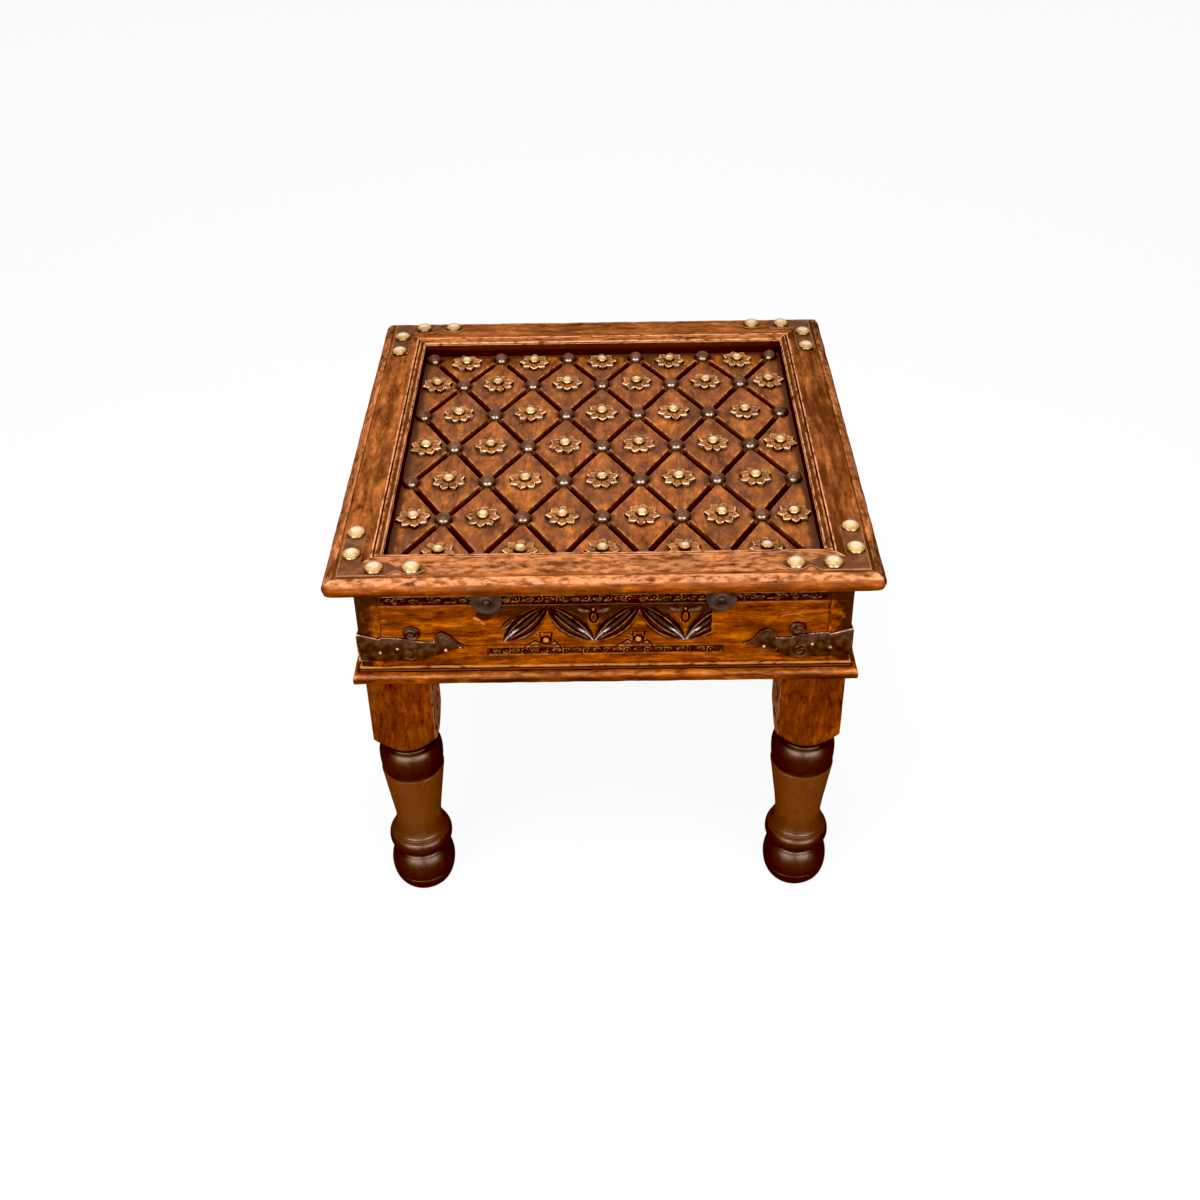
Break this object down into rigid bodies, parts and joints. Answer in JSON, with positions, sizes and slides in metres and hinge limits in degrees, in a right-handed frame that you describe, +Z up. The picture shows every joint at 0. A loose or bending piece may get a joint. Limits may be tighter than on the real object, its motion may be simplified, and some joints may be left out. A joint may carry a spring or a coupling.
{
  "type": "low table",
  "caption": "Low square bajot table: framed lattice-carved top with brass studs, on a carved box bound with iron straps and turned legs.",
  "frame": {"origin": "on the floor under the middle of the table", "axes": "+Z up, +Y towards the back of the table, +X to its right as seen from the front"},
  "size_m": [0.4826, 0.4826, 0.4173],
  "materials": {
    "frame_wood": "old brown stain under worn polish, mottled",
    "box_wood": "orange-brown stain with dark streaks, polished",
    "panel_wood": "brown stain, dark in the grooves, worn on the edges",
    "leg_wood": "dark walnut-brown polish, glossy",
    "hidden_wood": "plain unpolished softwood",
    "iron": "brown patinated wrought iron",
    "brass": "polished, slightly worn"
  },
  "bodies": {
    "root": {"front_top_rail": "frame_wood", "right_top_rail": "frame_wood", "back_top_rail": "frame_wood", "left_top_rail": "frame_wood", "lattice_panel": "panel_wood", "front_apron": "box_wood", "right_apron": "box_wood", "back_apron": "box_wood", "left_apron": "box_wood", "front_base_moulding": "box_wood", "right_base_moulding": "box_wood", "back_base_moulding": "box_wood", "left_base_moulding": "box_wood", "front_panel_cleat": "hidden_wood", "right_panel_cleat": "hidden_wood", "back_panel_cleat": "hidden_wood", "left_panel_cleat": "hidden_wood", "front_left_leg": "leg_wood", "front_right_leg": "leg_wood", "back_right_leg": "leg_wood", "back_left_leg": "leg_wood", "front_left_corner_plate": "iron", "front_left_end_stud_1": "brass", "front_left_end_stud_2": "brass", "front_left_side_stud_1": "brass", "front_left_side_stud_2": "brass", "front_right_corner_plate": "iron", "front_right_end_stud_1": "brass", "front_right_end_stud_2": "brass", "front_right_side_stud_1": "brass", "front_right_side_stud_2": "brass", "back_right_corner_plate": "iron", "back_right_end_stud_1": "brass", "back_right_end_stud_2": "brass", "back_right_side_stud_1": "brass", "back_right_side_stud_2": "brass", "back_left_corner_plate": "iron", "back_left_end_stud_1": "brass", "back_left_end_stud_2": "brass", "back_left_side_stud_1": "brass", "back_left_side_stud_2": "brass", "front_left_corner_strap": "iron", "front_right_corner_strap": "iron", "back_right_corner_strap": "iron", "back_left_corner_strap": "iron", "front_left_disc": "iron", "front_right_disc": "iron", "right_left_disc": "iron", "right_right_disc": "iron", "back_left_disc": "iron", "back_right_disc": "iron", "left_left_disc": "iron", "left_right_disc": "iron"}
  },
  "joints": []
}
